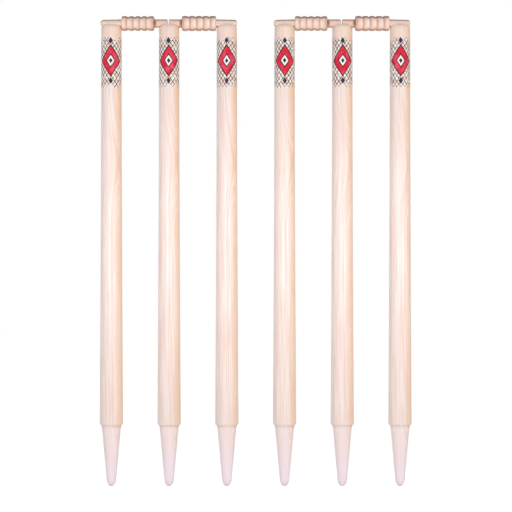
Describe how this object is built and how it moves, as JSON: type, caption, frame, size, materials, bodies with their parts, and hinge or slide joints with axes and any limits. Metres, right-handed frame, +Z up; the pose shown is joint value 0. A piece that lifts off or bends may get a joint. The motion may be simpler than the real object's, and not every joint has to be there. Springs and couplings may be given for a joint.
{
  "type": "cricket stumps",
  "caption": "Wooden wickets side by side: turned stumps with domed, grooved tops, printed bands, flat shoulders and bare conical spikes, carrying beaded bails that lift off.",
  "frame": {"origin": "on the ground line, the plane of the stumps' shoulders, midway between the wickets and on the stumps' axes", "axes": "+Z up along the stumps, +X along the row of stumps to the right as the bowler sees it, +Y away from the bowler"},
  "size_m": [0.5458, 0.0408, 0.8225],
  "materials": {
    "stump_wood": "pale turned wood, satin varnish above the shoulder and bare on the spike",
    "bail_wood": "pale turned wood, satin varnish",
    "printed_film": "thin clear film with a red, black and cream diamond print"
  },
  "bodies": {
    "middle_stumps": {"wicket_1_middle_stump": "stump_wood", "wicket_1_middle_film": "printed_film", "wicket_2_middle_stump": "stump_wood", "wicket_2_middle_film": "printed_film"},
    "wicket_1_left_stump": {"wicket_1_left_stump": "stump_wood", "wicket_1_left_film": "printed_film"},
    "wicket_1_right_stump": {"wicket_1_right_stump": "stump_wood", "wicket_1_right_film": "printed_film"},
    "wicket_2_left_stump": {"wicket_2_left_stump": "stump_wood", "wicket_2_left_film": "printed_film"},
    "wicket_2_right_stump": {"wicket_2_right_stump": "stump_wood", "wicket_2_right_film": "printed_film"},
    "wicket_1_left_bail": {"wicket_1_left_bail": "bail_wood"},
    "wicket_1_right_bail": {"wicket_1_right_bail": "bail_wood"},
    "wicket_2_left_bail": {"wicket_2_left_bail": "bail_wood"},
    "wicket_2_right_bail": {"wicket_2_right_bail": "bail_wood"}
  },
  "joints": [
    {"name": "wicket_1_left_stump_draw", "type": "slide", "parent": "middle_stumps", "child": "wicket_1_left_stump", "axis": [0, 0, 1], "range_m": [0, 0.12]},
    {"name": "wicket_1_right_stump_draw", "type": "slide", "parent": "middle_stumps", "child": "wicket_1_right_stump", "axis": [0, 0, 1], "range_m": [0, 0.12]},
    {"name": "wicket_2_left_stump_draw", "type": "slide", "parent": "middle_stumps", "child": "wicket_2_left_stump", "axis": [0, 0, 1], "range_m": [0, 0.12]},
    {"name": "wicket_2_right_stump_draw", "type": "slide", "parent": "middle_stumps", "child": "wicket_2_right_stump", "axis": [0, 0, 1], "range_m": [0, 0.12]},
    {"name": "wicket_1_left_bail_lift", "type": "slide", "parent": "wicket_1_left_stump", "child": "wicket_1_left_bail", "axis": [0, 0, 1], "range_m": [0, 0.05]},
    {"name": "wicket_1_right_bail_lift", "type": "slide", "parent": "wicket_1_right_stump", "child": "wicket_1_right_bail", "axis": [0, 0, 1], "range_m": [0, 0.05]},
    {"name": "wicket_2_left_bail_lift", "type": "slide", "parent": "wicket_2_left_stump", "child": "wicket_2_left_bail", "axis": [0, 0, 1], "range_m": [0, 0.05]},
    {"name": "wicket_2_right_bail_lift", "type": "slide", "parent": "wicket_2_right_stump", "child": "wicket_2_right_bail", "axis": [0, 0, 1], "range_m": [0, 0.05]}
  ]
}
